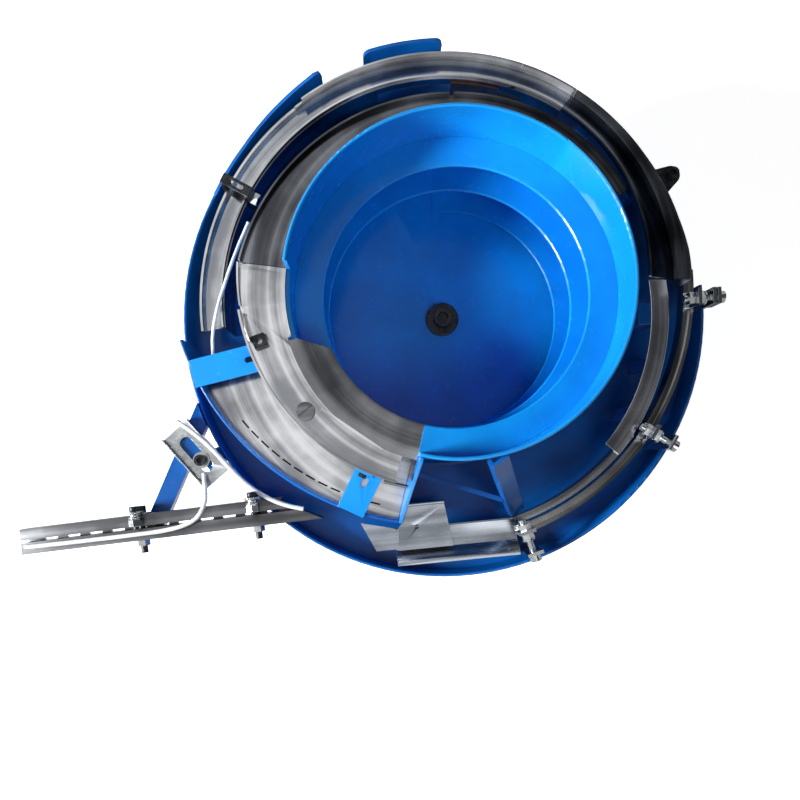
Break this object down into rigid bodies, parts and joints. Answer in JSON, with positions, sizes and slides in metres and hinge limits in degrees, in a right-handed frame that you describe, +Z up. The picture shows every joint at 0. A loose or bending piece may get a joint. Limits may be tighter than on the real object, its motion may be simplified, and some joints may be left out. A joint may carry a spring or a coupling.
{
  "type": "vibratory bowl feeder",
  "caption": "Vibratory bowl feeder: a coated bowl with a spiral ledge in a drum with steel sorting lanes, a tray, a chute and a slotted outfeed track, on a leaf-spring drive.",
  "frame": {"origin": "on the bowl's axis, at the underside of the rubber feet", "axes": "+Z up along the bowl's axis, +X away from the outfeed track's free end, +Y towards the raised tab of the drum's rim"},
  "size_m": [0.6144, 0.47, 0.33],
  "materials": {
    "rubber": "matt black moulded rubber",
    "zinc_steel": "bright zinc-plated steel",
    "drive_paint": "grey machine enamel, semi-gloss",
    "black_plastic": "black nylon",
    "black_steel": "black oxide steel, oiled",
    "spring_steel": "blued spring steel",
    "core_steel": "laminated core steel, varnished",
    "coil_varnish": "varnished copper winding",
    "blue_coating": "glossy blue polyurethane coating",
    "stainless": "polished and brushed stainless sheet",
    "brown_plate": "heat-tinted steel",
    "white_tube": "white polyurethane air tube"
  },
  "bodies": {
    "base": {"rubber_feet": "rubber", "foot_inserts": "zinc_steel", "foot_studs": "zinc_steel", "base_casting": "drive_paint", "cable_gland": "black_plastic", "lower_spring_clamps": "zinc_steel", "lower_spring_spacers": "zinc_steel", "lower_spring_bolts": "black_steel", "leaf_springs": "spring_steel", "magnet_bracket": "drive_paint", "magnet_core": "core_steel", "magnet_coil": "coil_varnish"},
    "bowl": {"upper_spring_clamps": "zinc_steel", "upper_spring_spacers": "zinc_steel", "upper_spring_bolts": "black_steel", "armature": "core_steel", "top_plate": "drive_paint", "inner_bowl": "blue_coating", "spiral_ledge": "blue_coating", "centre_washer": "black_steel", "centre_bolt": "black_steel", "outer_drum": "blue_coating", "return_apron": "stainless", "exit_deck": "stainless", "deck_skirt": "stainless", "deck_guide": "stainless", "deck_screw": "stainless", "deck_blade": "stainless", "blade_nut": "black_steel", "pin_lane": "stainless", "washer_lane_left": "stainless", "lane_wall_left": "stainless", "lane_skirt": "stainless", "selector_plate": "brown_plate", "lane_clip": "black_steel", "washer_lane_right": "stainless", "lane_wall_right": "stainless", "discharge_strip": "stainless", "lane_posts": "blue_coating", "tray_floor": "stainless", "tray_wall": "blue_coating", "tray_bridges": "blue_coating", "end_gusset": "blue_coating", "tie_rod": "stainless", "rim_strut": "blue_coating", "diagonal_rib": "blue_coating", "outer_rail": "stainless", "inner_rail": "stainless", "exit_chute": "stainless", "chute_cover": "stainless", "clamp_brackets": "zinc_steel", "clamp_bolts": "zinc_steel", "rim_ear": "black_steel", "linear_track": "stainless", "track_arm": "blue_coating", "sensor_bracket": "zinc_steel", "black_screws": "black_steel", "m6_nuts": "zinc_steel", "m6_washers": "zinc_steel", "air_tubes": "white_tube"}
  },
  "joints": [
    {"name": "bowl_twist", "type": "hinge", "parent": "base", "child": "bowl", "pos_m": [0, 0, 0.2], "axis": [0, 0, 1], "range_deg": [-0.5, 0.5], "stiffness_Nm_per_rad": 4000, "deforming": ["leaf_springs"]}
  ]
}
